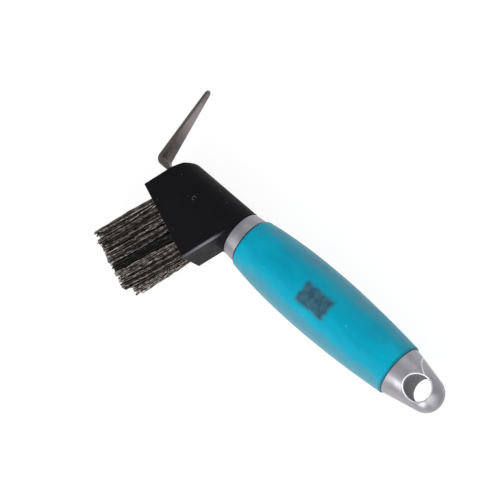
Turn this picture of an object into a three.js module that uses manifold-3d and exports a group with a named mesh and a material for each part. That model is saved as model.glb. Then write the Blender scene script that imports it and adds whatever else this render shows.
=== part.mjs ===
// Hoof pick with a brush: a bent steel pick and a block of bristle tufts on a moulded head,
// and a round handle with a gel grip and a capped end that hangs on a peg.
//
// Millimetres. While it is being built the handle axis is the X axis, with x = 0 where the
// head meets the collar and x growing towards the cap. +Y is the side of the steel pick, and
// Z runs across the head. At the end the whole pick is lifted so that it lies on z = 0.
import * as THREE from 'three';
import { mergeVertices } from 'three/addons/utils/BufferGeometryUtils.js';
import Module from 'manifold-3d';

const wasm = await Module();
wasm.setup();

// ---- driving dimensions ----
const GAP = 0.3; // clearance left between pieces that touch
const BEYOND = 20; // how far a cutting solid runs past what it cuts

const COLLAR = { front: 0, back: 7.3, frontRadius: 12.35, backRadius: 12.95, chamfer: 0.3 };
const GRIP = {
  start: 7.3, widest: 58, end: 110.3,
  startRadius: 13.9, widestRadius: 17.35, endRadius: 14.1,
  startPower: 2.5, endPower: 1.66, // how late the barrel falls away from its widest place
  wallBore: 12.5, lipRound: 1.3, endRound: 0.5,
};
const CORE = { spigot: 6, spigotLength: 17.5, collarSeat: 9, drum: 11.6, capSpigot: 8, capSpigotLength: 5.7 };
const LABEL = { middle: 59, length: 18, width: 12, thickness: 0.4 };

const NECK_RADIUS = 12.5; // the head is as thick as its neck is wide
const HEAD = {
  tilt: THREE.MathUtils.degToRad(20.3), // lean of the brush face against the handle axis
  corner: new THREE.Vector2(-53.4, -11.9), // where the front face meets the brush face
  faceLength: 45, edgeRound: 1.5, backRound: 3.3,
  lipHeight: 0.9, lipMargin: 1, // the lip round the mouth of the tang slot
};

const PICK = {
  width: 14.4, tipWidth: 4.4, thickness: 2.2, tipThickness: 1.6,
  lean: THREE.MathUtils.degToRad(6.5), // the blade leans forward, away from the handle
  tangHeight: 1.85, tangEnd: -26, tangWidth: 12,
  cornerX: -58.33, bendRadius: 2.9, tipY: 45.4,
};

const TUFT = {
  radius: 2.15, holeRadius: 2.5, holeDepth: 8.5,
  first: 8.9, pitch: 5.2, rowSpacing: 6.5, rows: [7, 6, 7],
  frontLength: 36.4, heelLength: 35.6,
  frontLean: THREE.MathUtils.degToRad(-0.5), heelLean: THREE.MathUtils.degToRad(0.5),
  sideLean: THREE.MathUtils.degToRad(2.5),
};
const ANCHOR = { length: 4.3, depth: 1.5, thickness: 0.5 };

const CAP = {
  start: 110.3, end: 137.6, radius: 13.4, boreRadius: 8.3, boreDepth: 6.1,
  noseRadius: 9.4, noseRoundStart: 132, hole: { x: 124.9, radius: 6.4 },
  thinning: 0.2, thinningGrowth: 0.0075, // slope of the flat sides at the joint, and how fast it grows
};

// ---- materials ----
function finish(color, roughness, metalness) {
  return new THREE.MeshStandardMaterial({ color, roughness, metalness });
}
const finishes = {
  steel: () => finish(0x8c8580, 0.38, 1),
  blackPlastic: () => finish(0x1c1a20, 0.42, 0),
  bristle: () => finish(0x4a443f, 0.5, 0),
  staple: () => finish(0xb0a890, 0.35, 1),
  silver: () => finish(0xa2a2a8, 0.35, 0.8),
  corePlastic: () => finish(0xb8bcc0, 0.5, 0),
  gel: () => finish(0x019cb9, 0.35, 0),
  label: () => finish(0x34454f, 0.6, 0),
};

// ---- solids: three.js shapes joined and cut ----
function toSolid(geometry) {
  const bare = geometry.clone();
  bare.deleteAttribute('normal');
  bare.deleteAttribute('uv');
  const merged = mergeVertices(bare, 1e-4);
  return new wasm.Manifold(new wasm.Mesh({
    numProp: 3,
    vertProperties: merged.attributes.position.array,
    triVerts: new Uint32Array(merged.index.array),
  }));
}

function toGeometry(solid) {
  const mesh = solid.getMesh();
  const geometry = new THREE.BufferGeometry();
  geometry.setAttribute('position', new THREE.BufferAttribute(mesh.vertProperties, 3));
  geometry.setIndex(new THREE.BufferAttribute(mesh.triVerts, 1));
  geometry.computeVertexNormals();
  return geometry;
}

const pick = new THREE.Group();

function addPiece(name, geometry, material) {
  const mesh = new THREE.Mesh(geometry, material);
  mesh.name = name;
  pick.add(mesh);
  return mesh;
}

// A profile of [x, radius] points turned about the handle axis.
function turned(points, segments = 48) {
  const profile = points.map(([x, radius]) => new THREE.Vector2(radius, x));
  return new THREE.LatheGeometry(profile, segments).rotateZ(-Math.PI / 2);
}

// A flat outline in X and Y, as thick as asked and centred on z = 0, with rounded long edges.
function slab(outline, thickness, round = 0) {
  const geometry = new THREE.ExtrudeGeometry(outline, {
    depth: thickness - 2 * round,
    bevelEnabled: round > 0,
    bevelThickness: round,
    bevelSize: round,
    bevelOffset: -round,
    bevelSegments: 3,
    curveSegments: 10,
  });
  return geometry.translate(0, 0, round - thickness / 2);
}

// ---- head frame: u runs along the brush face from its front corner, v out of it ----
const faceAlong = new THREE.Vector2(Math.cos(HEAD.tilt), -Math.sin(HEAD.tilt));
const faceOut = new THREE.Vector2(-Math.sin(HEAD.tilt), -Math.cos(HEAD.tilt));
const inHead = (u, v) => HEAD.corner.clone().addScaledVector(faceAlong, u).addScaledVector(faceOut, v);
// The distance from the brush face back to the line y, at a place u along the face.
const depthToY = (u, y) => (y - inHead(u, 0).y) / Math.cos(HEAD.tilt);

// Places of the tufts on the brush face, row by row; the middle row stands between the others.
function tuftPlaces() {
  const places = [];
  TUFT.rows.forEach((count, row) => {
    const side = row - (TUFT.rows.length - 1) / 2;
    const offset = (TUFT.rows[0] - count) / 2;
    for (let i = 0; i < count; i += 1) {
      const share = (i + offset) / (TUFT.rows[0] - 1);
      const u = TUFT.first + (i + offset) * TUFT.pitch;
      places.push({ u, z: side * TUFT.rowSpacing, side, share });
    }
  });
  return places;
}

function makeHead() {
  const { edgeRound, faceLength, backRound } = HEAD;
  const frontAxis = inHead(0, -depthToY(0, edgeRound));
  const heelAxis = inHead(faceLength, -depthToY(faceLength, edgeRound));
  const block = toSolid(slab(new THREE.Shape([
    inHead(0, 0), inHead(faceLength, 0), heelAxis, frontAxis,
  ]), 2 * NECK_RADIUS, edgeRound));
  const neckStart = HEAD.corner.x - BEYOND;
  const neckEnd = COLLAR.front - GAP / 2;
  const neck = toSolid(turned([
    [neckStart, 0], [neckStart, NECK_RADIUS], [neckEnd, NECK_RADIUS], [neckEnd, 0],
  ], 64));

  // The side outline cuts the neck off along the front face and rounds its back corner.
  const top = inHead(0, -depthToY(0, NECK_RADIUS));
  const below = inHead(0, BEYOND);
  const rounded = top.clone().addScaledVector(faceOut, backRound);
  const side = new THREE.Shape();
  side.moveTo(below.x, below.y);
  side.lineTo(BEYOND, below.y - BEYOND);
  side.lineTo(BEYOND, NECK_RADIUS);
  side.lineTo(top.x + backRound, NECK_RADIUS);
  side.quadraticCurveTo(top.x, top.y, rounded.x, rounded.y);
  side.closePath();
  let head = block.add(neck).intersect(toSolid(slab(side, 2 * (NECK_RADIUS + BEYOND))));

  // A low lip stands round the mouth of the tang slot.
  const mouth = inHead(0, -depthToY(0, PICK.tangHeight));
  const lip = new THREE.BoxGeometry(
    2 * HEAD.lipHeight, PICK.thickness + 2 * HEAD.lipMargin, PICK.tangWidth + 2 * HEAD.lipMargin,
  ).rotateZ(-HEAD.tilt).translate(mouth.x, mouth.y, 0);
  head = head.add(toSolid(lip));

  const slotHeight = PICK.thickness + 2 * GAP;
  const slotLength = 2 * BEYOND;
  const slot = new THREE.BoxGeometry(slotLength, slotHeight, PICK.tangWidth + 2 * GAP)
    .translate(PICK.tangEnd + GAP - slotLength / 2, PICK.tangHeight, 0);
  const spigotBore = turned([
    [-CORE.spigotLength - GAP, 0], [-CORE.spigotLength - GAP, CORE.spigot + GAP],
    [BEYOND, CORE.spigot + GAP], [BEYOND, 0],
  ], 32);
  head = head.subtract(toSolid(slot)).subtract(toSolid(spigotBore));

  for (const { u, z } of tuftPlaces()) {
    const middle = inHead(u, 0);
    const hole = new THREE.CylinderGeometry(TUFT.holeRadius, TUFT.holeRadius, 2 * TUFT.holeDepth, 12)
      .rotateZ(-HEAD.tilt)
      .translate(middle.x, middle.y, z);
    head = head.subtract(toSolid(hole));
  }
  addPiece('brush_head', toGeometry(head), finishes.blackPlastic());
}

// Each tuft is straight in its hole, then leans a little outwards to its tip.
function makeTufts() {
  const section = new THREE.Shape().absarc(0, 0, TUFT.radius, 0, 2 * Math.PI);
  tuftPlaces().forEach(({ u, z, side, share }, index) => {
    const label = String(index + 1).padStart(2, '0');
    const lean = THREE.MathUtils.lerp(TUFT.frontLean, TUFT.heelLean, share);
    const length = THREE.MathUtils.lerp(TUFT.frontLength, TUFT.heelLength, share);
    const root = inHead(u, -TUFT.holeDepth + ANCHOR.depth + 2 * GAP);
    const mouth = inHead(u, 0);
    const tip = inHead(u + length * Math.tan(lean), length);
    const route = new THREE.QuadraticBezierCurve3(
      new THREE.Vector3(mouth.x, mouth.y, z),
      new THREE.Vector3(...inHead(u, length / 3).toArray(), z),
      new THREE.Vector3(tip.x, tip.y, z + side * length * Math.tan(TUFT.sideLean)),
    );
    const inHole = new THREE.LineCurve3(
      new THREE.Vector3(root.x, root.y, z), new THREE.Vector3(mouth.x, mouth.y, z),
    );
    const path = new THREE.CurvePath();
    path.add(inHole);
    path.add(route);
    const tuft = new THREE.ExtrudeGeometry(section, {
      steps: 5, extrudePath: path, bevelEnabled: false, curveSegments: 5,
    });
    addPiece(`tuft_${label}`, tuft, finishes.bristle());

    const seat = inHead(u, -TUFT.holeDepth + GAP + ANCHOR.depth / 2);
    const anchor = new THREE.BoxGeometry(ANCHOR.length, ANCHOR.depth, ANCHOR.thickness);
    const anchorMesh = addPiece(`tuft_anchor_${label}`, anchor, finishes.staple());
    anchorMesh.position.set(seat.x, seat.y, z);
    anchorMesh.rotation.z = -HEAD.tilt;
  });
}

// The pick is one strip: a tang along the handle, a bend, and a blade that leans forward.
function makePick() {
  const { thickness, tipThickness, lean, tangHeight, tangEnd, cornerX, bendRadius, tipY } = PICK;
  const turn = Math.PI / 2 - lean;
  const straight = bendRadius * Math.tan(turn / 2);
  const centre = new THREE.Vector2(cornerX + straight, tangHeight + bendRadius);
  const half = thickness / 2;
  const bladeLength = (tipY - centre.y) / Math.cos(lean);
  const along = new THREE.Vector2(-Math.sin(lean), Math.cos(lean));
  const across = new THREE.Vector2(Math.cos(lean), Math.sin(lean));
  const blade = (distance, offset) => centre.clone()
    .addScaledVector(across, offset - bendRadius)
    .addScaledVector(along, distance);

  const strip = new THREE.Shape();
  strip.moveTo(tangEnd, tangHeight - half);
  strip.lineTo(tangEnd, tangHeight + half);
  strip.lineTo(centre.x, tangHeight + half);
  strip.absarc(centre.x, centre.y, bendRadius - half, -Math.PI / 2, -Math.PI + lean, true);
  const tipInner = blade(bladeLength, tipThickness / 2);
  const tipOuter = blade(bladeLength - tipThickness / 2, -tipThickness / 2);
  strip.lineTo(tipInner.x, tipInner.y);
  strip.lineTo(tipOuter.x, tipOuter.y);
  strip.absarc(centre.x, centre.y, bendRadius + half, -Math.PI + lean, -Math.PI / 2, false);
  strip.closePath();

  // Seen along the handle the blade tapers from the bend to a round tip.
  const front = new THREE.Shape();
  const tipRadius = PICK.tipWidth / 2;
  front.moveTo(-PICK.width / 2, -BEYOND);
  front.lineTo(PICK.width / 2, -BEYOND);
  front.lineTo(PICK.width / 2, centre.y);
  front.lineTo(tipRadius, tipY - tipRadius);
  front.absarc(0, tipY - tipRadius, tipRadius, 0, Math.PI, false);
  front.lineTo(-PICK.width / 2, centre.y);
  front.closePath();
  const taper = slab(front, 2 * (BEYOND - cornerX)).rotateY(Math.PI / 2);

  // Seen from above the tang narrows behind the bend.
  const plan = new THREE.Shape();
  const narrowX = inHead(0, -depthToY(0, tangHeight)).x - 2 * HEAD.lipHeight;
  plan.moveTo(cornerX - BEYOND, -PICK.width / 2);
  plan.lineTo(centre.x, -PICK.width / 2);
  plan.lineTo(narrowX, -PICK.tangWidth / 2);
  plan.lineTo(0, -PICK.tangWidth / 2);
  plan.lineTo(0, PICK.tangWidth / 2);
  plan.lineTo(narrowX, PICK.tangWidth / 2);
  plan.lineTo(centre.x, PICK.width / 2);
  plan.lineTo(cornerX - BEYOND, PICK.width / 2);
  plan.closePath();
  const narrowing = slab(plan, 2 * (BEYOND + tipY)).rotateX(Math.PI / 2);

  const solid = toSolid(slab(strip, PICK.width)).intersect(toSolid(taper)).intersect(toSolid(narrowing));
  addPiece('hook_blade', toGeometry(solid), finishes.steel());
}

function makeCollar() {
  const front = COLLAR.front + GAP / 2;
  const back = COLLAR.back - GAP / 2;
  const bore = CORE.collarSeat + GAP;
  addPiece('collar_ring', turned([
    [front, bore], [front, COLLAR.frontRadius - COLLAR.chamfer], [front + COLLAR.chamfer, COLLAR.frontRadius],
    [back, COLLAR.backRadius], [back, bore], [front, bore],
  ], 64), finishes.silver());
}

function makeCore() {
  const drumStart = COLLAR.back + GAP;
  const drumEnd = GRIP.end - GAP / 2;
  addPiece('handle_core', turned([
    [-CORE.spigotLength, 0], [-CORE.spigotLength, CORE.spigot],
    [COLLAR.front + GAP / 2, CORE.spigot], [COLLAR.front + GAP / 2, CORE.collarSeat],
    [drumStart, CORE.collarSeat], [drumStart, CORE.drum],
    [drumEnd, CORE.drum], [drumEnd, CORE.capSpigot],
    [GRIP.end + CORE.capSpigotLength, CORE.capSpigot], [GRIP.end + CORE.capSpigotLength, 0],
  ], 48), finishes.corePlastic());
}

// A curved patch that lies on the core, under the gel, on the side that faces up.
function makeLabel() {
  const inner = CORE.drum + GAP;
  const outer = inner + LABEL.thickness;
  const spread = LABEL.width / (2 * outer);
  const section = new THREE.Shape();
  section.absarc(0, 0, outer, Math.PI / 2 - spread, Math.PI / 2 + spread, false);
  section.absarc(0, 0, inner, Math.PI / 2 + spread, Math.PI / 2 - spread, true);
  section.closePath();
  const patch = new THREE.ExtrudeGeometry(section, {
    depth: LABEL.length, bevelEnabled: false, curveSegments: 8,
  })
    .translate(0, 0, -LABEL.length / 2)
    .applyMatrix4(new THREE.Matrix4().makeBasis(
      new THREE.Vector3(0, 1, 0), new THREE.Vector3(0, 0, 1), new THREE.Vector3(1, 0, 0),
    ));
  const mesh = addPiece('label_patch', patch, finishes.label());
  mesh.position.x = LABEL.middle;
}

// The barrel's radius falls from its widest place as a power of the distance to each end.
function gripRadius(x) {
  const towardsCap = x > GRIP.widest;
  const end = towardsCap ? GRIP.end : GRIP.start;
  const endRadius = towardsCap ? GRIP.endRadius : GRIP.startRadius;
  const power = towardsCap ? GRIP.endPower : GRIP.startPower;
  const share = (x - GRIP.widest) / (end - GRIP.widest);
  return GRIP.widestRadius - (GRIP.widestRadius - endRadius) * share ** power;
}

function makeGrip() {
  const start = GRIP.start + GAP / 2;
  const end = GRIP.end - GAP / 2;
  const profile = [[start, GRIP.wallBore], [start, GRIP.startRadius - GRIP.lipRound]];
  for (let step = 1; step <= 3; step += 1) {
    const angle = (step / 3) * (Math.PI / 2);
    const x = start + GRIP.lipRound * (1 - Math.cos(angle));
    profile.push([x, gripRadius(x) - GRIP.lipRound * (1 - Math.sin(angle))]);
  }
  const steps = 20;
  const barrelStart = start + GRIP.lipRound;
  for (let step = 1; step <= steps; step += 1) {
    const x = THREE.MathUtils.lerp(barrelStart, end - GRIP.endRound, step / steps);
    profile.push([x, gripRadius(x)]);
  }
  profile.push([end, GRIP.endRadius - GRIP.endRound], [end, GRIP.wallBore], [start, GRIP.wallBore]);
  addPiece('gel_grip', turned(profile, 56), finishes.gel());
}

// Half width of the cap: a straight taper that runs tangent into the round nose.
function capHalfWidth(x) {
  const noseCentre = CAP.end - CAP.noseRadius;
  const taper = Math.atan((CAP.radius - CAP.noseRadius) / (noseCentre - CAP.start));
  const touch = noseCentre + CAP.noseRadius * Math.sin(taper);
  const touchRadius = CAP.noseRadius * Math.cos(taper);
  if (x < touch) return CAP.radius + (touchRadius - CAP.radius) * (x - CAP.start) / (touch - CAP.start);
  return Math.sqrt(Math.max(CAP.noseRadius ** 2 - (x - noseCentre) ** 2, 0));
}

// Half thickness of the cap: it thins faster and faster, and rounds off at the nose.
function capHalfThickness(x) {
  const run = x - CAP.start;
  const flat = CAP.radius - CAP.thinning * run - CAP.thinningGrowth * run ** 2;
  const past = Math.max(x - CAP.noseRoundStart, 0) / (CAP.end - CAP.noseRoundStart);
  return flat * Math.sqrt(Math.max(1 - past ** 2, 0));
}

function makeCap() {
  const start = CAP.start + GAP / 2;
  const nose = CAP.end - 0.02; // a hair short of the end, where the round outline closes
  const profile = [[start, 0], [start, 1]];
  const steps = 14;
  for (let step = 1; step <= steps; step += 1) {
    const share = Math.sin((step / steps) * (Math.PI / 2)); // closer together at the nose
    profile.push([THREE.MathUtils.lerp(start, nose, share), 1]);
  }
  profile.push([nose, 0]);
  const body = turned(profile, 56);
  const position = body.attributes.position;
  for (let i = 0; i < position.count; i += 1) {
    const x = position.getX(i);
    position.setY(i, position.getY(i) * capHalfWidth(x));
    position.setZ(i, position.getZ(i) * capHalfThickness(x));
  }
  const bore = turned([
    [start - BEYOND, 0], [start - BEYOND, CAP.boreRadius],
    [CAP.start + CAP.boreDepth, CAP.boreRadius], [CAP.start + CAP.boreDepth, 0],
  ], 32);
  const holeLength = 2 * (CAP.radius + BEYOND);
  const hole = new THREE.CylinderGeometry(CAP.hole.radius, CAP.hole.radius, holeLength, 40)
    .rotateX(Math.PI / 2)
    .translate(CAP.hole.x, 0, 0);
  const cap = toSolid(body).subtract(toSolid(bore)).subtract(toSolid(hole));
  addPiece('end_cap', toGeometry(cap), finishes.silver());
}

makePick();
makeHead();
makeTufts();
makeCollar();
makeCore();
makeLabel();
makeGrip();
makeCap();

// The origin goes under the middle of the whole pick, on the plane that it lies on.
const bounds = new THREE.Box3().setFromObject(pick);
const middle = bounds.getCenter(new THREE.Vector3());
pick.position.set(-middle.x, -middle.y, -bounds.min.z);

export default pick;
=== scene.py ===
# %% [markdown]
# # A hoof pick with a brush
# This lesson dresses a hoof pick: a steel pick, a black moulded head full of bristle tufts,
# a silver band, a teal gel grip and a silver cap with a hang hole. The sizes come from a
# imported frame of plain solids, so the first thing to do is to load it and note its box.
# Everything made later has to stay inside that box.

# %% Load the frame
import math

import bmesh
import bpy
import numpy as np
from mathutils import Matrix, Vector


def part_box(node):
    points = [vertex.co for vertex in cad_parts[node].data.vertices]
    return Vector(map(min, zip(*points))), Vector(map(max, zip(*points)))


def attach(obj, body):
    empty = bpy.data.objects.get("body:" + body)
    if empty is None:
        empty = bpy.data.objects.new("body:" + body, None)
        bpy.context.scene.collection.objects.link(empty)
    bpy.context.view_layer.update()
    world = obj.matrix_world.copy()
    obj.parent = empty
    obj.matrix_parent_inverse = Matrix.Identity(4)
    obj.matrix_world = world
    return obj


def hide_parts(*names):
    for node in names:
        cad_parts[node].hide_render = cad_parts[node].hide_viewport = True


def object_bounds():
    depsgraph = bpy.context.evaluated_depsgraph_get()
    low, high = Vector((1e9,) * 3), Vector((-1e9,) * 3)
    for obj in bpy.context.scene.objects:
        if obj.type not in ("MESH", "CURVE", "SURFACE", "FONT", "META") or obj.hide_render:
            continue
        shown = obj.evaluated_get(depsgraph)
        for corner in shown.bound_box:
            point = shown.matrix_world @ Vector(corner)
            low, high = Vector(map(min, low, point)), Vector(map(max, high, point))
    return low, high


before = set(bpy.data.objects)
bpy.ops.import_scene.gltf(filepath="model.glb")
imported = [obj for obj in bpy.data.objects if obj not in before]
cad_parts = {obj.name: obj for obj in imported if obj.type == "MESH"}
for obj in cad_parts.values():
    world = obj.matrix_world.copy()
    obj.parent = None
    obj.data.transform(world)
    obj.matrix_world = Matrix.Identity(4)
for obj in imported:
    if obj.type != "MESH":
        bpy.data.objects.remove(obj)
frame_low, frame_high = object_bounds()
print("frame box, mm:", [round(1000 * (h - l), 1) for l, h in zip(frame_low, frame_high)])

# %% [markdown]
# ## Where the handle is
# A maker of turned and moulded pieces thinks along an axis. Here the handle's axis is X, with
# x = 0 where the head meets the silver band. +Y is the side of the steel pick, and +Z looks
# up from the bench. Shapes are worked out in millimetres round that axis. One helper then
# carries them into the frame, whose metres start under the middle of the whole pick. The
# band is the piece that marks the start of the axis, so its box gives the axis.

# %% The handle's axis, found from the silver band
MM = 0.001
GAP = 0.3  # clearance between pieces that touch, in millimetres
band_low, band_high = (np.array(corner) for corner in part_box("collar_ring"))
handle_start = (band_low + band_high) / 2
handle_start[0] = band_low[0] - GAP / 2 * MM


def in_frame(points):
    """A point of the frame is the handle's start plus the handle point, turned into metres."""
    return handle_start + np.asarray(points, float) * MM


print("handle starts at, mm:", (handle_start / MM).round(2))

# %% [markdown]
# ## The camera
# A long lens from well above the bench flattens the pick as in a catalogue picture. The
# camera stands on a sphere round its target. Azimuth and elevation say where on the sphere,
# and roll turns the picture about the line of sight. Writing the three axes out as a matrix
# is safer here than a Track To constraint, because a constraint can't hold a roll.

# %% Helper: objects
def show(name, data):
    """An object that holds this camera, lamp or mesh, put in the scene."""
    shown = bpy.data.objects.new(name, data)
    bpy.context.scene.collection.objects.link(shown)
    return shown


# %% Camera
AZIMUTH, ELEVATION, ROLL = (math.radians(angle) for angle in (101.265, 68.056, -61.29))
DISTANCE = 1.2595
AIMED_AT = (8.2, -3.34, -2.98)  # handle point in the middle of the picture


def camera_axes():
    """Back looks from the target to the camera; right is level; both turn by the roll."""
    back = Vector((
        math.sin(AZIMUTH) * math.cos(ELEVATION),
        -math.cos(AZIMUTH) * math.cos(ELEVATION),
        math.sin(ELEVATION),
    ))
    level = Vector((math.cos(AZIMUTH), math.sin(AZIMUTH), 0))
    upright = back.cross(level)
    right = math.cos(ROLL) * level + math.sin(ROLL) * upright
    return right, back.cross(right), back


def make_camera():
    right, up, back = camera_axes()
    lens = bpy.data.cameras.new("camera")
    lens.lens, lens.sensor_width = 180, 36
    lens.clip_start, lens.clip_end = 0.05, 20
    camera = show("camera", lens)
    turn = Matrix((right, up, back)).transposed()
    place = Vector(in_frame(AIMED_AT)) + back * DISTANCE
    camera.matrix_world = Matrix.Translation(place) @ turn.to_4x4()
    bpy.context.scene.camera = camera
    return right, up, back


RIGHT, UP, BACK = make_camera()
print("camera right:", RIGHT[:], "back:", BACK[:])

# %% [markdown]
# ## Helpers for materials
# A material is a small graph of nodes. The helpers below add one node each and join it to
# what comes before, so a finish can be read as a recipe: patches, grain, colour, bump.
# Patterns read Object coordinates, which are metres on the real thing, so a noise of scale
# 1 / size has features of that size. A number that is the same all over a surface is set on
# the shader's own socket, because exporters read it only there.

# %% Helpers: a finish and its nodes
def new_finish(name, **settings):
    """A material with one Principled shader. settings are its sockets, spaces as underscores."""
    material = bpy.data.materials.new(name)
    material.use_nodes = True
    shader = material.node_tree.nodes["Principled BSDF"]
    for socket, value in settings.items():
        shader.inputs[socket.replace("_", " ")].default_value = value
    return material, material.node_tree, shader


def add_node(tree, kind, inputs=None, **settings):
    """Adds a node. An input is either another node's socket, which is linked, or a value."""
    node = tree.nodes.new("ShaderNode" + kind)
    for key, value in settings.items():
        setattr(node, key, value)
    for key, value in (inputs or {}).items():
        if isinstance(value, bpy.types.NodeSocket):
            tree.links.new(value, node.inputs[key])
        else:
            node.inputs[key].default_value = value
    return node


def object_place(tree, centre=(0, 0, 0), turn=(0, 0, 0), scale=(1, 1, 1)):
    """Object coordinates seen from a centre, turned and then scaled."""
    place = add_node(tree, "TexCoord").outputs["Object"]
    moved = add_node(tree, "VectorMath", {0: place, 1: tuple(centre)}, operation="SUBTRACT")
    turned = add_node(tree, "Mapping", {"Vector": moved.outputs[0], "Rotation": turn, "Scale": scale})
    return turned.outputs[0]


def attribute(tree, name):
    """A number that the mesh stores on each of its points."""
    return add_node(tree, "Attribute", attribute_name=name).outputs["Fac"]


def handle_axes(tree):
    """Distances along and across the handle from its start, as sockets X, Y and Z."""
    return add_node(tree, "SeparateXYZ", {0: object_place(tree, tuple(handle_start))}).outputs


def join(shader, **values):
    """Links each value to the shader's socket of that name, with spaces as underscores."""
    for socket, value in values.items():
        shader.id_data.links.new(value, shader.inputs[socket.replace("_", " ")])


print("node helpers ready")

# %% Helpers: patterns
def noise(tree, place, size, detail=3.0, roughness=0.5, distortion=0.0):
    """Clouds whose features are about size metres across, as a value from 0 to 1."""
    node = add_node(tree, "TexNoise", {
        "Vector": place, "Scale": 1 / size, "Detail": detail,
        "Roughness": roughness, "Distortion": distortion,
    })
    return node.outputs[0]


def spots(tree, place, size):
    """Distance to the nearest of many scattered points, in cells of this size."""
    return add_node(tree, "TexVoronoi", {"Vector": place, "Scale": 1 / size}).outputs["Distance"]


def span(tree, value, low, high, to_low=0.0, to_high=1.0):
    """Carries low..high to to_low..to_high with soft ends, and holds the ends."""
    node = add_node(tree, "MapRange", {
        "Value": value, "From Min": low, "From Max": high, "To Min": to_low, "To Max": to_high,
    }, interpolation_type="SMOOTHSTEP")
    return node.outputs[0]


print("pattern helpers ready")

# %% Helpers: colour, sums and relief
def blend(tree, share, first, second, how="MIX"):
    """Colour first where share is 0, second where it is 1."""
    node = tree.nodes.new("ShaderNodeMix")
    node.data_type, node.blend_type = "RGBA", how
    for socket, value in ((node.inputs[0], share), (node.inputs[6], first), (node.inputs[7], second)):
        if isinstance(value, bpy.types.NodeSocket):
            tree.links.new(value, socket)
        else:
            socket.default_value = value
    return node.outputs[2]


def maths(tree, how, first, second=0.0):
    """One sum of two numbers, such as ADD or MAXIMUM."""
    return add_node(tree, "Math", {0: first, 1: second}, operation=how).outputs[0]


def bump(tree, height, depth, under=None):
    """Turns height (0 to 1) into relief depth metres deep, on top of another bump."""
    inputs = {"Height": height, "Distance": depth, "Strength": 1.0}
    if under is not None:
        inputs["Normal"] = under
    return add_node(tree, "Bump", inputs).outputs[0]


def paint(red, green, blue):
    """Screen colour, 0 to 255, as the linear colour that a shader wants."""
    share = np.array((red, green, blue)) / 255
    linear = np.where(share <= 0.04045, share / 12.92, ((share + 0.055) / 1.055) ** 2.4)
    return (*linear.tolist(), 1.0)


print("a mid grey is", [round(c, 3) for c in paint(128, 128, 128)])

# %% [markdown]
# ## Bench and light
# The pick lies on a pale bench under soft light. The panels stand low round it, so that flat
# black faces, which mirror the sky straight above, stay deep and only edges that turn towards
# a panel catch a line of light. The bench glows a little, as a light table does, which fills
# the shadows under the pick.

# %% Bench
BENCH_HALF, BENCH_GLOW = 3.0, 0.9
BENCH_DROP = 0.00005  # keeps the bench clear of the lowest point of the pick


def make_bench():
    """A flat square just under the lowest point of the pick."""
    half, level = BENCH_HALF, frame_low[2] - BENCH_DROP
    mesh = bpy.data.meshes.new("bench")
    corners = [(-half, -half, level), (half, -half, level), (half, half, level), (-half, half, level)]
    mesh.from_pydata(corners, [], [(0, 1, 2, 3)])
    material, tree, shader = new_finish(
        "bench_paint", Roughness=0.9, Specular_IOR_Level=0.1,
        Emission_Color=(1, 1, 1, 1), Emission_Strength=BENCH_GLOW,
    )
    clouds = noise(tree, object_place(tree), 0.05)
    join(shader, Base_Color=blend(tree, clouds, paint(106, 106, 106), paint(112, 112, 112)))
    mesh.materials.append(material)
    show("bench", mesh)


make_bench()
print("bench at", round(1000 * (frame_low[2] - BENCH_DROP), 3), "mm")

# %% Panels and world
SKY = 0.42
PANELS = {  # place to the right, up and back, in metres; side, in metres; power, in watts
    "key_panel": ((-0.29, -0.67, 0.67), 0.45, 4.6),
    "side_panel": ((-0.87, -0.30, 0.40), 0.7, 2.4),
    "far_panel": ((0.31, 0.73, 0.62), 0.8, 2.0),
    "cap_panel": ((0.30, -0.46, 0.84), 0.5, 2.3),
}


def add_panel(name, along, side, power):
    """A square lamp that faces the pick's middle, from a mix of the picture's right, up and back."""
    lamp = bpy.data.lights.new(name, "AREA")
    lamp.shape, lamp.size, lamp.energy = "SQUARE", side, power
    panel = show(name, lamp)
    panel.location = RIGHT * along[0] + UP * along[1] + BACK * along[2]
    panel.rotation_euler = panel.location.to_track_quat("Z", "Y").to_euler()


def make_world():
    """An even white sky on all sides."""
    world = bpy.data.worlds.new("studio")
    world.use_nodes = True
    background = world.node_tree.nodes["Background"]
    background.inputs["Color"].default_value = (1, 1, 1, 1)
    background.inputs["Strength"].default_value = SKY
    bpy.context.scene.world = world


make_world()
for panel_name, panel_values in PANELS.items():
    add_panel(panel_name, *panel_values)
bpy.context.scene.view_settings.view_transform = "Standard"

# %% [markdown]
# ## Helpers for shapes
# A surface is a grid of points: rows run one way, columns the other, and each little square
# of neighbours is a face. Where the surface closes on itself, the last row or column joins
# the first. Poles are rows squeezed to one point; merging the doubles welds them shut.
# Working the grid out as whole arrays keeps the formula in one line, with no loop.

# %% Helpers: grids into meshes
def grid_faces(rows, columns, close_rows=False, close_columns=True, start=0):
    """Each face joins point (i, j) to its right, diagonal and lower neighbours in the grid."""
    i = np.arange(rows if close_rows else rows - 1)[:, None]
    j = np.arange(columns if close_columns else columns - 1)[None, :]
    below, beside = (i + 1) % rows, (j + 1) % columns
    corners = (i * columns + j, i * columns + beside, below * columns + beside, below * columns + j)
    return np.stack(np.broadcast_arrays(*corners), -1).reshape(-1, 4) + start


def end_faces(columns, first, last):
    """Two faces with many corners that close a tube at its first and last ring, facing outwards."""
    ring = np.arange(columns)
    return [ring[::-1] + first, ring + last]


def weld(mesh, distance=0.002 * MM):
    """Merges doubled points, which closes seams and poles, and turns every face outwards."""
    work = bmesh.new()
    work.from_mesh(mesh)
    bmesh.ops.remove_doubles(work, verts=work.verts, dist=distance)
    bmesh.ops.dissolve_degenerate(work, edges=work.edges, dist=distance)
    bmesh.ops.recalc_face_normals(work, faces=work.faces)
    work.to_mesh(mesh)
    work.free()


def soften(mesh, crease):
    """Smooth shading, with the edges over the crease angle, in degrees, kept sharp."""
    mesh.shade_smooth()
    mesh.set_sharp_from_angle(angle=math.radians(crease))


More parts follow.
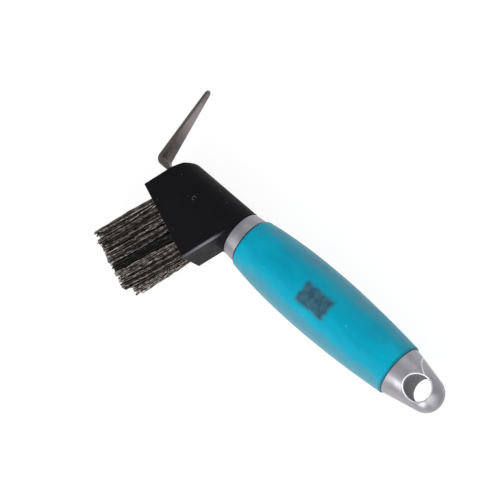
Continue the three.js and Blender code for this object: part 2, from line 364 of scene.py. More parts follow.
def raw_mesh(name, points, faces):
    """A mesh from handle points in millimetres."""
    mesh = bpy.data.meshes.new(name)
    mesh.from_pydata(in_frame(points).reshape(-1, 3).tolist(), [], [list(face) for face in faces])
    return mesh


def make_mesh(name, points, faces):
    """The same, welded and smoothly shaded."""
    mesh = raw_mesh(name, points, faces)
    weld(mesh)
    soften(mesh, 35)
    return mesh


print("a 4 by 3 grid has", len(grid_faces(4, 3, close_columns=False)), "faces")

# %% Helpers: numbers on points, and the finished piece
def points_of(mesh):
    """All vertex places in one array, in metres."""
    flat = np.empty(3 * len(mesh.vertices))
    mesh.vertices.foreach_get("co", flat)
    return flat.reshape(-1, 3)


def store(mesh, name, values):
    """Keeps one number per vertex in the mesh, for its material to read."""
    mesh.attributes.new(name, "FLOAT", "POINT").data.foreach_set("value", values)


def finish_piece(name, mesh, material, slot, *stands_for):
    """Shows a mesh as a piece that rides on the body and stands for its plain solids."""
    mesh.materials.clear()
    mesh.materials.append(material)
    piece = show(name, mesh)
    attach(piece, "root")
    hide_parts(*stands_for)
    size = np.ptp(points_of(mesh), axis=0) / MM
    print(f"{name}: {len(mesh.polygons)} faces, {size.round(1)} mm")


# %% Helpers: turned shapes and tubes
def turn_about_axis(profile, around):
    """Each profile point (x, r) becomes a circle (x, r sin a, r cos a) of around points."""
    profile = np.asarray(profile, float)
    angle = np.linspace(0, 2 * np.pi, around, endpoint=False)
    x, radius = profile[:, 0, None], profile[:, 1, None]
    return np.stack(np.broadcast_arrays(x, radius * np.sin(angle), radius * np.cos(angle)), -1)


def quarter(count):
    """Angles of a quarter turn, for rounding an edge."""
    return np.linspace(0, np.pi / 2, count)


def tube(path, radius, sides):
    """Rings round a path: across and upward are both square to the path's direction.

    A fixed direction that no path here follows gives across, so the rings never twist.
    """
    along = np.gradient(path, axis=-2)
    along /= np.linalg.norm(along, axis=-1, keepdims=True)
    across = np.cross(along, np.array([0.13, 0.21, 0.97]))
    across /= np.linalg.norm(across, axis=-1, keepdims=True)
    upward = np.cross(across, along)
    angle = np.linspace(0, 2 * np.pi, sides, endpoint=False)[:, None]
    ring = across[..., None, :] * np.cos(angle) + upward[..., None, :] * np.sin(angle)
    return path[..., None, :] + ring * np.asarray(radius)[..., None, None]


print("a quarter turn, degrees:", np.degrees(quarter(4)).round())

# %% [markdown]
# ## Silver paint
# The band and the cap are moulded plastic with a sprayed silver coat. Silver paint is tiny
# metal flakes in clear lacquer: it shines like dull metal and each flake glints a little on
# its own. So the shader is set between metal and paint. It gets a fine grain of flakes, wide
# soft patches where the coat is thicker, and a painted warm reflection in places. The wall of
# the hang hole is painted darker as shade, and the rim and the seam ridge get a painted highlight.

# %% Finish: silver paint
def silver_paint():
    material, tree, shader = new_finish("silver_paint", Metallic=0.62)
    place = object_place(tree)
    patches = noise(tree, place, 0.006, 2)
    flakes = spots(tree, place, 0.00022)
    bore = attribute(tree, "in_bore")
    # A painted warm reflection, in patches.
    tint = span(tree, noise(tree, place, 0.004, 1), 0.52, 0.7, 0, 0.5)
    colour = blend(tree, patches, paint(144, 143, 150), paint(168, 169, 174))
    colour = blend(tree, tint, colour, paint(188, 168, 170))
    colour = blend(tree, span(tree, flakes, 0.1, 0.7, 0, 0.25), colour, paint(128, 128, 134))
    # Painted shade: the wall of the hang hole is darker.
    colour = blend(tree, bore, colour, paint(62, 57, 65))
    # Painted highlight: near white on the rim's round and on the seam ridge.
    colour = blend(tree, attribute(tree, "painted_highlight"), colour, paint(240, 240, 244))
    gloss = span(tree, patches, 0.3, 0.7, 0.31, 0.42)
    gloss = maths(tree, "MAXIMUM", gloss, maths(tree, "MULTIPLY", bore, 0.75))
    relief = bump(tree, flakes, 0.000004)
    relief = bump(tree, noise(tree, place, 0.0022, 2), 0.000035, relief)
    join(shader, Base_Color=colour, Roughness=gloss, Normal=relief)
    return material


SILVER = silver_paint()
print("made", SILVER.name)

# %% [markdown]
# ## The silver band
# A turned ring fills the step between the black neck and the grip. It widens a little
# towards the grip. A profile carried round the axis is the natural way to make it. Its
# edges get a true small round, because a silver edge always shows a fine line of light.

# %% Piece: silver band
AROUND = 144
BAND = {
    "front": 0.15, "back": 7.15, "front_radius": 12.35, "back_radius": 12.95, "bore": 9.3, "edge": 0.35,
}


def band_profile():
    """Bore, front face, rounded front edge, flared outside, rounded back edge, back face."""
    edge, turn = BAND["edge"], quarter(5)
    front = np.stack([
        BAND["front"] + edge * (1 - np.sin(turn)),
        BAND["front_radius"] - edge * (1 - np.cos(turn)),
    ], -1)[::-1]
    back = np.stack([
        BAND["back"] - edge * (1 - np.sin(turn)),
        BAND["back_radius"] - edge * (1 - np.cos(turn)),
    ], -1)
    inner = [(BAND["back"], BAND["bore"]), (BAND["front"], BAND["bore"])]
    return np.concatenate([front, back, inner])


def make_band():
    profile = band_profile()
    points = turn_about_axis(profile, AROUND)
    mesh = make_mesh("silver_band", points, grid_faces(len(profile), AROUND, close_rows=True))
    finish_piece("silver_band", mesh, SILVER, "silver_paint", "collar_ring")


make_band()

# %% [markdown]
# ## Gel
# The grip is a soft clear gel in a deep teal. Light goes in, scatters and comes out again,
# so the middle glows and the edges, seen through less gel, look greyer. The finish mixes
# wide soft clouds of two teals, a painted grey sheen along both sides for those greyer edges,
# a painted shade at each end where the gel meets the silver, a few tiny trapped bubbles and
# some subsurface light. A dark patch lies on the core under the gel, which blurs its edges.
# So it is painted as a soft rectangle with wavy sides, at the place of the patch's own solid.

# %% Finish: gel, the patch under it
PATCH = {"inset": 0.0001, "blur": 0.0017, "waves": 260.0, "swing": 0.0022}  # metres; waves per metre


def vectors(tree, how, first, second=(0, 0, 0)):
    """One sum of two vectors, such as ADD or ABSOLUTE."""
    return add_node(tree, "VectorMath", {0: first, 1: second}, operation=how).outputs[0]


def soft_rectangle(tree, centre, half):
    """1 inside a rectangle in x and y and 0 outside it, with a blurred, wavy edge."""
    place = object_place(tree, centre)
    waves = add_node(tree, "TexNoise", {"Vector": place, "Scale": PATCH["waves"], "Detail": 1.0})
    swing = vectors(tree, "SUBTRACT", waves.outputs["Color"], (0.5, 0.5, 0.5))
    place = vectors(tree, "ADD", place, vectors(tree, "MULTIPLY", swing, (PATCH["swing"],) * 3))
    past = vectors(tree, "SUBTRACT", vectors(tree, "ABSOLUTE", place), half)
    axes = add_node(tree, "SeparateXYZ", {0: past}).outputs
    edge = maths(tree, "MAXIMUM", axes["X"], axes["Y"])
    inside = span(tree, edge, -PATCH["blur"], PATCH["blur"], 1, 0)
    up = add_node(tree, "SeparateXYZ", {0: place}).outputs["Z"]
    return maths(tree, "MULTIPLY", inside, span(tree, up, 0, 0.002))  # only on the upper side


def label_shape(tree):
    """The soft rectangle at the place of the patch's own solid."""
    low, high = (np.array(corner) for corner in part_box("label_patch"))
    return soft_rectangle(tree, (low + high) / 2, tuple((high - low) / 2 - PATCH["inset"]))


# %% Finish: gel
PAINTED_SIDE_SHEEN = (  # from clear to full sheen across the handle, in metres, and the painted sheen's colour
    (0.008, 0.0165, paint(84, 136, 154)),
    (-0.006, -0.0145, paint(90, 140, 156)),
)
PAINTED_LIP_SHADE = ((0.1085, 0.1101), (0.0092, 0.0075))  # from clear to full painted shade along the handle, at the joints with the cap and the band


def gel():
    material, tree, shader = new_finish(
        "gel", Subsurface_Weight=0.5, Subsurface_Scale=0.005, Subsurface_Radius=(0.1, 0.7, 1.0),
        Specular_IOR_Level=0.1,
    )
    place = object_place(tree)
    long_clouds = noise(tree, object_place(tree, scale=(0.45, 1, 1)), 0.016, 3, 0.55, 0.4)
    teal = blend(tree, span(tree, long_clouds, 0.3, 0.7), paint(0, 154, 182), paint(0, 171, 199))
    haze = span(tree, noise(tree, place, 0.009, 2), 0.5, 0.75, 0, 0.25)
    teal = blend(tree, haze, teal, paint(20, 168, 192))
    axes = handle_axes(tree)
    ragged = maths(tree, "SUBTRACT", noise(tree, place, 0.012, 3), 0.5)
    across = maths(tree, "ADD", axes["Y"], maths(tree, "MULTIPLY", ragged, 0.008))
    # Painted grey sheen along both sides, for the greyer edges of the gel.
    for clear, full_sheen, grey in PAINTED_SIDE_SHEEN:
        teal = blend(tree, span(tree, across, clear, full_sheen, 0, 0.85), teal, grey)
    # Painted shade at both ends of the gel, where it meets the cap and the band.
    end_shade = maths(tree, "MAXIMUM", *(span(tree, axes["X"], *ends) for ends in PAINTED_LIP_SHADE))
    teal = blend(tree, maths(tree, "MULTIPLY", end_shade, 0.75), teal, paint(28, 84, 104))
    bubbles = span(tree, spots(tree, place, 0.0068), 0.03, 0.11, 0.28, 0)
    teal = blend(tree, bubbles, teal, paint(110, 190, 208))
    mottles = span(tree, noise(tree, place, 0.0034, 2, 0.4), 0.3, 0.7)
    slate = blend(tree, mottles, paint(44, 78, 94), paint(68, 102, 117))
    colour = blend(tree, maths(tree, "MULTIPLY", label_shape(tree), 0.94), teal, slate)
    gloss = span(tree, haze, 0, 0.25, 0.42, 0.58)
    relief = bump(tree, noise(tree, place, 0.0009, 2), 0.000006)
    relief = bump(tree, noise(tree, place, 0.007, 2), 0.00011, relief)
    join(shader, Base_Color=colour, Roughness=gloss, Normal=relief)
    return material


GEL = gel()
print("made", GEL.name)

# %% [markdown]
# ## The grip
# The gel sleeve is a barrel: widest in the middle, with a rounded lip where it meets the
# band. It could be a cylinder with a Subdivision modifier, but then its swell would be
# guesswork. Here its radius is a formula, and faint waves, which only ever take gel away,
# break the perfect roundness as on a poured piece.

# %% Piece: gel grip
GRIP = {
    "start": 7.3, "widest": 58, "end": 110.3, "start_radius": 13.9, "widest_radius": 17.34,
    "end_radius": 14.1, "start_power": 2.5, "end_power": 1.66, "bore": 12.5, "lip": 1.5, "end_round": 0.7,
    "wave": 0.0035,
}


def barrel_radius(x):
    """Widest radius less the drop to the nearer end, times (distance / whole) to a power."""
    towards_cap = x > GRIP["widest"]
    end = np.where(towards_cap, GRIP["end"], GRIP["start"])
    end_radius = np.where(towards_cap, GRIP["end_radius"], GRIP["start_radius"])
    power = np.where(towards_cap, GRIP["end_power"], GRIP["start_power"])
    share = (x - GRIP["widest"]) / (end - GRIP["widest"])
    return GRIP["widest_radius"] - (GRIP["widest_radius"] - end_radius) * share ** power


def grip_profile():
    """The lip's quarter round, the barrel, a small end round, and back along the bore."""
    start, end = GRIP["start"] + GAP / 2, GRIP["end"] - GAP / 2
    turn = quarter(9)
    lip_x = start + GRIP["lip"] * (1 - np.cos(turn))
    lip = np.stack([lip_x, barrel_radius(lip_x) - GRIP["lip"] * (1 - np.sin(turn))], -1)
    x = np.linspace(start + GRIP["lip"], end - GRIP["end_round"], 80)[1:-1]
    barrel = np.stack([x, barrel_radius(x)], -1)
    end_x = end - GRIP["end_round"] * (1 - np.sin(turn))
    rounded = np.stack([end_x, barrel_radius(end_x) - GRIP["end_round"] * (1 - np.cos(turn))], -1)
    bore = [(end, GRIP["bore"]), (start, GRIP["bore"])]
    return np.concatenate([lip, barrel, rounded, bore])


def make_grip():
    """The turned profile, sunk by slow waves everywhere but on the lines z = 0 and y = 0."""
    profile = grip_profile()
    points = turn_about_axis(profile, AROUND)
    x, angle = points[..., 0], np.arctan2(points[..., 1], points[..., 2])
    wave = np.sin(x / 9 + 2 * np.sin(angle)) * np.sin(3 * angle + x / 23) * np.cos(x / 17 - angle)
    sunk = 1 - GRIP["wave"] * (1 - np.cos(2 * angle)) * (0.5 + 0.5 * wave)
    points[..., 1:] *= sunk[..., None]
    mesh = make_mesh("gel_sleeve", points, grid_faces(len(profile), AROUND, close_rows=True))
    finish_piece("gel_sleeve", mesh, GEL, "gel", "gel_grip")


make_grip()

# %% [markdown]
# ## The end cap
# The cap starts round, to meet the grip, and flattens into a loop with a hang hole. A
# Boolean cut would leave a hard, uneven rim. Instead every face line runs as a loop round
# the ring: up the wall of the hole, over a rounded rim, out across the top to the outline,
# and back underneath. Carrying that loop once round the hole closes the surface, and the rim
# gets an even round edge, which is what catches the light. A thin ridge, left by the seam of
# the mould, runs from the side to the rim.

# %% Piece: end cap, its outline and its height
CAP = {
    "start": 110.45, "joint": 110.3, "end": 137.57, "radius": 13.4, "nose": 9.4, "nose_round": 132.0,
    "thinning": 0.2, "growth": 0.0075, "hole_x": 124.9, "hole": 6.4, "rim": 0.7,
}
BEAD = {"height": 0.1, "from_hole": 0.55, "width": 0.3}  # a low swelling along the rim
SEAM = {"start": (115.7, 12.3), "bend": (119.6, 8.6), "end": (124.0, 6.75), "radius": 0.2}
BRIGHT = {"from_hole": 0.4, "width": 0.3}  # where a highlight is painted on the rim
NOSE_X = CAP["end"] - CAP["nose"]
TAPER = math.atan((CAP["radius"] - CAP["nose"]) / (NOSE_X - CAP["joint"]))
TOUCH_X, TOUCH_Y = NOSE_X + CAP["nose"] * math.sin(TAPER), CAP["nose"] * math.cos(TAPER)


def cap_half_width(x):
    """A straight taper that runs tangent into a circle round the nose."""
    straight = CAP["radius"] + (TOUCH_Y - CAP["radius"]) * (x - CAP["joint"]) / (TOUCH_X - CAP["joint"])
    nose = np.sqrt(np.maximum(CAP["nose"] ** 2 - (x - NOSE_X) ** 2, 0))
    return np.where(x < TOUCH_X, straight, nose)


def cap_height(x, y):
    """Elliptic sections: half thickness times the root of 1 less (y / half width) squared."""
    run = x - CAP["joint"]
    past = np.clip((x - CAP["nose_round"]) / (CAP["end"] - CAP["nose_round"]), 0, 1)
    thick = (CAP["radius"] - CAP["thinning"] * run - CAP["growth"] * run ** 2) * np.sqrt(1 - past ** 2)
    share = y / np.maximum(cap_half_width(x), 1e-6)
    return thick * np.sqrt(np.clip(1 - share ** 2, 0, None))


def cap_angles(nose_count=132, joint_count=60):
    """Angles round the hole, with one exactly at each corner of the flat joint face."""
    corner = math.atan2(float(cap_half_width(CAP["start"])), CAP["start"] - CAP["hole_x"])
    nose = np.linspace(-corner, corner, nose_count, endpoint=False)
    joint = np.linspace(corner, 2 * np.pi - corner, joint_count, endpoint=False)
    return np.concatenate([nose, joint])


def reach(angle):
    """Halves the span again and again to find how far each ray goes before it leaves the cap."""
    near, far = np.zeros_like(angle), np.full_like(angle, 30.0)
    for _ in range(50):
        middle = (near + far) / 2
        x, y = CAP["hole_x"] + middle * np.cos(angle), middle * np.sin(angle)
        inside = (x > CAP["start"]) & (x < CAP["end"]) & (np.abs(y) < cap_half_width(x))
        near, far = np.where(inside, middle, near), np.where(inside, far, middle)
    return near


print("cap half width over the hole, mm:", cap_half_width(CAP["hole_x"]).round(2))

# %% Piece: end cap, its surface
def cap_loops():
    """Distance from the hole's centre and height, for every angle (rows) and loop place."""
    angle = cap_angles()[:, None]
    edge = reach(angle)
    rim, turn = CAP["rim"], quarter(8)[None, :]
    over = rim * (1 - np.cos(turn))
    out = (1 - np.cos(np.linspace(0, np.pi, 36)))[None, 1:] / 2
    from_hole = np.concatenate([
        CAP["hole"] + over + 0 * angle, CAP["hole"] + rim + (edge - CAP["hole"] - rim) * out,
    ], 1)
    x = CAP["hole_x"] + from_hole * np.cos(angle)
    y = from_hole * np.sin(angle)
    height = cap_height(x, y)
    start = turn.shape[1]
    height[:, :start] = height[:, start, None] - rim * (1 - np.sin(turn))
    past_bead = from_hole - CAP["hole"] - BEAD["from_hole"]
    height += BEAD["height"] * np.exp(-(past_bead / BEAD["width"]) ** 2)
    on_joint = np.abs(x[:, -1] - CAP["start"]) < 0.01
    height[~on_joint, -1] = 0
    return x, y, height


def make_cap_surface():
    """Top loop, a few lines down the joint face, bottom loop, and the wall of the hole."""
    x, y, height = cap_loops()
    shrink = np.linspace(1, -1, 7)[None, 1:-1]
    joint = np.stack([
        np.repeat(x[:, -1:], 5, 1), np.repeat(y[:, -1:], 5, 1), height[:, -1:] * shrink,
    ], -1)
    wall = np.stack([
        np.repeat(x[:, :1], 5, 1), np.repeat(y[:, :1], 5, 1), -height[:, :1] * shrink,
    ], -1)
    top = np.stack([x, y, height], -1)
    bottom = np.stack([x, y, -height], -1)[:, ::-1]
    return np.concatenate([top, joint, bottom, wall], 1)


print("cap surface, rows and columns:", make_cap_surface().shape[:2])

# %% Piece: end cap, its ridge and its painted light
def seam_ridge():
    """A thin ridge over the cap, from its side to the rim: a curve laid on the surface."""
    share = np.linspace(0, 1, 24)[:, None]
    start, bend, end = (np.array(SEAM[key]) for key in ("start", "bend", "end"))
    flat = (1 - share) ** 2 * start + 2 * share * (1 - share) * bend + share ** 2 * end
    path = np.column_stack([flat, cap_height(flat[:, 0], flat[:, 1])])
    radius = SEAM["radius"] * np.sqrt(np.clip(1 - (2 * share[:, 0] - 1) ** 8, 0, 1))
    return tube(path, radius, 8)


def store_painted_light(mesh, ridge):
    """The painted highlight is 1 on the rim's round and the ridge; in_bore, for painted shade, is 1 on
    the hole's wall.
    """
    place = (points_of(mesh) - handle_start) / MM
    from_hole = np.hypot(place[:, 0] - CAP["hole_x"], place[:, 1])
    rim = np.exp(-((from_hole - CAP["hole"] - BRIGHT["from_hole"]) / BRIGHT["width"]) ** 2)
    apart = np.linalg.norm(place[:, None] - ridge.mean(1)[None], axis=-1).min(1)
    store(mesh, "painted_highlight", np.clip(rim + np.exp(-(apart / BRIGHT["width"]) ** 8), 0, 1))
    # The wall of the hole is marked for painted shade.
    store(mesh, "in_bore", (from_hole < CAP["hole"] + 0.02).astype(float))


def make_cap():
    surface, ridge = make_cap_surface(), seam_ridge()
    rows, columns = surface.shape[:2]
    faces = [*grid_faces(rows, columns, close_rows=True)]
    faces += [*grid_faces(ridge.shape[0], ridge.shape[1], start=rows * columns)]
    points = np.concatenate([surface.reshape(-1, 3), ridge.reshape(-1, 3)])
    mesh = make_mesh("hanging_cap", points, faces)
    store_painted_light(mesh, ridge)
    finish_piece("hanging_cap", mesh, SILVER, "silver_paint", "end_cap")


make_cap()

# %% [markdown]
# ## Black moulded plastic
# The head is one moulding in black polypropylene. Fresh from the mould it has a fine matt
# grain and, on flat sides, faint marks of dust and handling. So the colour is nearly flat, a
# very dark cool grey, and the interest is in the gloss: a fine grain, slow clouds where
# fingers polished it, a few pale specks, and a painted highlight on the heel edges and gate mark.

# %% Finish: black plastic
def black_plastic():
    material, tree, shader = new_finish("black_plastic", Specular_IOR_Level=0.11)
    place = object_place(tree)
    clouds = noise(tree, place, 0.008, 4, 0.6)
    colour = blend(tree, clouds, paint(9, 7, 12), paint(16, 14, 19))
    specks = span(tree, spots(tree, place, 0.0046), 0.03, 0.07, 0.6, 0)
    colour = blend(tree, specks, colour, paint(120, 120, 128))
    # Painted highlight: a paler, glossier line along the heel edges and on the gate mark.
    painted_shine = attribute(tree, "painted_shine")
    colour = blend(tree, painted_shine, colour, paint(118, 118, 125))
    gloss = span(tree, clouds, 0.3, 0.7, 0.5, 0.64)
    gloss = maths(tree, "SUBTRACT", gloss, maths(tree, "MULTIPLY", painted_shine, 0.25))
    relief = bump(tree, noise(tree, place, 0.00035, 2), 0.000012)
    relief = bump(tree, noise(tree, place, 0.005, 2), 0.00003, relief)
    join(shader, Base_Color=colour, Roughness=gloss, Normal=relief)
    return material


BLACK = black_plastic()
print("made", BLACK.name)

# %% [markdown]
# ## The head
# The head is a round neck that runs forward into a block with flat sides. Cut it into thin
# slices parallel to its sides, and each slice has the same outline: the back, the collar end,
# the underside of the neck, the heel face, the brush face and the front face. Only the back
# and the neck move in as the slice nears the side, along the neck's circle. So the head is a
# stack of outlines, whose corners are arcs, and the block's long edges are rounded by moving
# its faces in over the last slices.

# %% Piece: head, its measures
HEAD = {
    "radius": 12.5, "tilt": math.radians(20.3), "corner": np.array([-53.4, -11.9]), "face": 45,
    "collar_end": -0.15, "side_round": 0.5, "heel_round": 1.5, "corner_round": 0.45,
    "back_round": 4.7, "back_cut": 9.2, "neck_fillet": 1.2, "end_round": 0.3,
}
ALONG = np.array([math.cos(HEAD["tilt"]), -math.sin(HEAD["tilt"])])  # along the brush face
OUT = np.array([-math.sin(HEAD["tilt"]), -math.cos(HEAD["tilt"])])  # out of the brush face
AHEAD, BACKWARD = np.array([1.0, 0.0]), np.array([-1.0, 0.0])
UPWARD, DOWNWARD = np.array([0.0, 1.0]), np.array([0.0, -1.0])


def on_face(u, v):
    """Handle x and y of a place u along the brush face and v out of it."""
    return HEAD["corner"] + np.multiply.outer(u, ALONG) + np.multiply.outer(v, OUT)


def depth_at(u, y):
    """How far out of the brush face a place u along it has to be to lie at height y."""
    return (HEAD["corner"][1] - u * math.sin(HEAD["tilt"]) - y) / math.cos(HEAD["tilt"])


def corner_arc(corner, before, after, radius, count):
    """An arc touching both sides of a corner; its points turn evenly about its centre."""
    half = math.acos(float(before @ after)) / 2
    radius = np.asarray(radius, float)[:, None]
    middle = (before + after) / np.linalg.norm(before + after)
    centre = corner + middle * radius / math.sin(half)
    reach_out = radius / math.tan(half)
    first, last = corner + before * reach_out - centre, corner + after * reach_out - centre
    turn = np.pi - 2 * half
    share = np.linspace(0, 1, count)[None, :, None]
    weights = np.sin((1 - share) * turn) / math.sin(turn), np.sin(share * turn) / math.sin(turn)
    return centre[:, None] + weights[0] * first[:, None] + weights[1] * last[:, None]


def straight(first, last, count):
    """Inner points of a straight run between the last point of one arc and the first of another."""
    share = np.linspace(0, 1, count + 2)[None, 1:-1, None]
    return first[:, None] * (1 - share) + last[:, None] * share


print("heel corner at", on_face(HEAD["face"], 0).round(2))

# %% Piece: head, its slices
def head_slices():
    """One outline for each slice, and the numbers of the neck strip's first and last points."""
    angle = np.radians(np.linspace(-90, 90, 61))
    z, back = HEAD["radius"] * np.sin(angle), HEAD["radius"] * np.cos(angle)

    def moved_in(radius):
        """How far a face has moved in at height z for a round edge of this radius."""
        past = np.clip(np.abs(z) - (HEAD["radius"] - radius), 0, radius)
        return radius - np.sqrt(radius ** 2 - past ** 2)

    front_u, heel_u = moved_in(HEAD["side_round"]), HEAD["face"] - moved_in(HEAD["heel_round"])
    face_v = -moved_in(HEAD["side_round"])
    heel_top, front_top = depth_at(heel_u, -back), depth_at(front_u, back)

    def place(u, v):
        return HEAD["corner"] + u[:, None] * ALONG + v[:, None] * OUT

    collar = np.full_like(z, HEAD["collar_end"])
    small = np.minimum(HEAD["end_round"], 0.45 * back)
    even = np.ones_like(z)
    heel_arc = corner_arc(place(heel_u, heel_top), AHEAD, OUT, HEAD["neck_fillet"] * even, 9)
    end_top = corner_arc(np.stack([collar, back], -1), BACKWARD, DOWNWARD, small, 4)
    end_low = corner_arc(np.stack([collar, -back], -1), UPWARD, BACKWARD, small, 4)
    corner = HEAD["corner_round"]
    heel_corner = corner_arc(place(heel_u, face_v), -OUT, -ALONG, corner * even, 7)
    front_corner = corner_arc(place(front_u, face_v), ALONG, -OUT, corner * even, 7)
    high = np.clip((back - HEAD["back_cut"]) / (HEAD["radius"] - HEAD["back_cut"]), 0, 1)
    back_radius = corner + (HEAD["back_round"] - corner) * high  # only the highest slices are cut back
    back_corner = corner_arc(place(front_u, front_top), OUT, AHEAD, back_radius, 10)
    neck_start = np.stack([heel_arc[:, 0, 0], back], -1)  # on the back, over the neck's start

    runs = [
        straight(back_corner[:, -1], neck_start, 6), neck_start[:, None],
        straight(neck_start, end_top[:, 0], 2), end_top, end_low,
        straight(end_low[:, -1], heel_arc[:, 0], 2), heel_arc,
        straight(heel_arc[:, -1], heel_corner[:, 0], 5), heel_corner,
        straight(heel_corner[:, -1], front_corner[:, 0], 12), front_corner,
        straight(front_corner[:, -1], back_corner[:, 0], 6), back_corner,
    ]
    lengths = np.cumsum([run.shape[1] for run in runs])
    outline = np.concatenate(runs, 1)
    slices = np.concatenate([outline, np.broadcast_to(z[:, None, None], (*outline.shape[:2], 1))], -1)
    return slices, lengths[1], lengths[5]


def head_block():
    """The slices joined side by side, closed by the flat sides of the block."""
    slices, neck_from, neck_to = head_slices()
    rows, columns = slices.shape[:2]
    side = np.concatenate([np.arange(neck_from), np.arange(neck_to + 1, columns)])
    faces = [*grid_faces(rows, columns), side, side[::-1] + (rows - 1) * columns]
    return slices.reshape(-1, 3), faces


print("head slices:", head_slices()[0].shape)

# %% [markdown]
# ## Lip, slot and holes
# The steel comes out of a slot in the front face, with a low lip moulded round it. The tufts
# stand in drilled holes in the brush face. Real holes are cut, and so are these: a Boolean
# modifier takes away one mesh of round bars and a slot. The lip is a soft-edged box, made by
# pushing a ball's eight octants apart. A small open ring stands on one flat side, where the
# plastic was let into the mould.

# %% Piece: head, lip and cutters
PICK = {
    "width": 14.4, "tip_width": 4.4, "thick": 2.2, "tip_thick": 1.6, "lean": math.radians(6.5),
    "tang_y": 1.85, "tang_end": -26.0, "tang_width": 12.0, "corner_x": -58.33, "bend": 2.9, "tip_y": 45.4,
    "edge": 0.26, "widens": 1.8,
}
MOUTH = on_face(0.0, depth_at(0.0, PICK["tang_y"]))  # where the tang leaves the front face
LIP = {"half": (1.3, 2.5, 7.1), "round": 0.45}
SLOT = {"half_length": 20, "round": 0.25}
GATE = {"centre": np.array([-26.9, -0.7, 12.5]), "ring": 1.0, "bar": 0.17}
TUFT = {
    "hole": 2.5, "depth": 8.5, "first": 8.9, "pitch": 5.2, "row": 6.5, "counts": (7, 6, 7),
    "radius": 2.15, "front_length": 36.8, "heel_length": 36.2, "front_lean": -0.5, "heel_lean": -1.6,
    "side_lean": 2.5, "point": 0.6, "chamfer": 0.35, "proud": 3.0,
}


def soft_box(centre, half, radius, turn=0.0, steps=8):
    """Ball points of the given radius, pushed outwards by the half sizes less that radius."""
    polar = (np.arange(steps) + 0.5) / steps * np.pi
    about = (np.arange(2 * steps) + 0.5) / steps * np.pi
    polar = np.concatenate([[0], polar, [np.pi]])[:, None]
    ball = np.stack(np.broadcast_arrays(
        np.sin(polar) * np.cos(about), np.sin(polar) * np.sin(about), np.cos(polar)), -1)
    ball[0], ball[-1] = (0, 0, 1), (0, 0, -1)
    points = ball * radius + np.sign(ball.round(9)) * (np.array(half) - radius)
    cos, sin = math.cos(turn), math.sin(turn)
    x, y = points[..., 0] * cos - points[..., 1] * sin, points[..., 0] * sin + points[..., 1] * cos
    return np.stack([x, y, points[..., 2]], -1) + np.array(centre)


def box_faces(points):
    """Rows of the soft box, with its two flat ends as single faces."""
    rows, columns = points.shape[:2]
    inner = grid_faces(rows - 2, columns, start=columns)
    return [*inner, *end_faces(columns, columns, (rows - 2) * columns)]


def tuft_places():
    """Rows of (u, z, side, share): the middle row stands between the others."""
    rows = []
    for side, count in zip((-1, 0, 1), TUFT["counts"]):
        number = np.arange(count) + (TUFT["counts"][0] - count) / 2
        u = TUFT["first"] + number * TUFT["pitch"]
        share = number / (TUFT["counts"][0] - 1)
        rows.append(np.stack(np.broadcast_arrays(u, side * TUFT["row"], side, share), -1))
    return np.concatenate(rows)


def bar(u, z, steps=32):
    """A round bar across the brush face, with a soft point at its inner end."""
    angle = np.linspace(0, 2 * np.pi, steps, endpoint=False)
    deep, point = -TUFT["depth"], TUFT["point"]
    depth = np.array([deep, deep + point, -TUFT["chamfer"], 0.0, TUFT["proud"]])[:, None]
    radius = TUFT["hole"] * np.array([point, 1.0, 1.0, 1.1, 1.1])[:, None]
    flat = on_face(u + radius * np.cos(angle), depth + 0 * angle)
    return np.concatenate([flat, (z + radius * np.sin(angle))[..., None]], -1)


print("tufts:", len(tuft_places()))

# %% Piece: head, cutting
def loose_object(name, points, faces):
    """A welded mesh as a helper object, for a Boolean to use up."""
    return show(name, make_mesh(name, points, faces))


def hole_cutter():
    """The tang's slot and the twenty bars in one mesh."""
    slot = soft_box(
        (PICK["tang_end"] - SLOT["half_length"], PICK["tang_y"], 0),
        (SLOT["half_length"], PICK["thick"] / 2 + GAP, PICK["tang_width"] / 2 + GAP), SLOT["round"])
    points, faces = [slot.reshape(-1, 3)], box_faces(slot)
    for u, z, _, _ in tuft_places():
        drilled = bar(u, z)
        rows, columns = drilled.shape[:2]
        start = sum(len(part) for part in points)
        faces += [*grid_faces(rows, columns, start=start)]
        faces += end_faces(columns, start, start + (rows - 1) * columns)
        points.append(drilled.reshape(-1, 3))
    return loose_object("cutter", np.concatenate(points), faces)


def cut_mesh(body, *steps):
    """The body's mesh after each (other, operation) Boolean; the helpers are thrown away."""
    for other, operation in steps:
        cut = body.modifiers.new(operation, "BOOLEAN")
        cut.object, cut.operation, cut.solver = other, operation, "MANIFOLD"
    evaluated = body.evaluated_get(bpy.context.evaluated_depsgraph_get())
    mesh = bpy.data.meshes.new_from_object(evaluated)
    for helper in (body, *(other for other, _ in steps)):
        bpy.data.objects.remove(helper)
    return mesh


print("slot half sizes, mm:", SLOT["half_length"], PICK["thick"] / 2 + GAP, PICK["tang_width"] / 2 + GAP)

# %% Piece: head, its gate mark and painted edge highlight
def gate_mark():
    """The open ring left where the plastic was let into the mould: an arc of thin bar."""
    angle = np.radians(np.linspace(35, 325, 26))
    path = np.stack([np.cos(angle), np.sin(angle), 0 * angle], -1) * GATE["ring"] + GATE["centre"]
    rings = tube(path, np.full(len(path), GATE["bar"]), 8)
    faces = [*grid_faces(len(path), 8), *end_faces(8, 0, 8 * (len(path) - 1))]
    return loose_object("gate_mark", rings.reshape(-1, 3), faces)


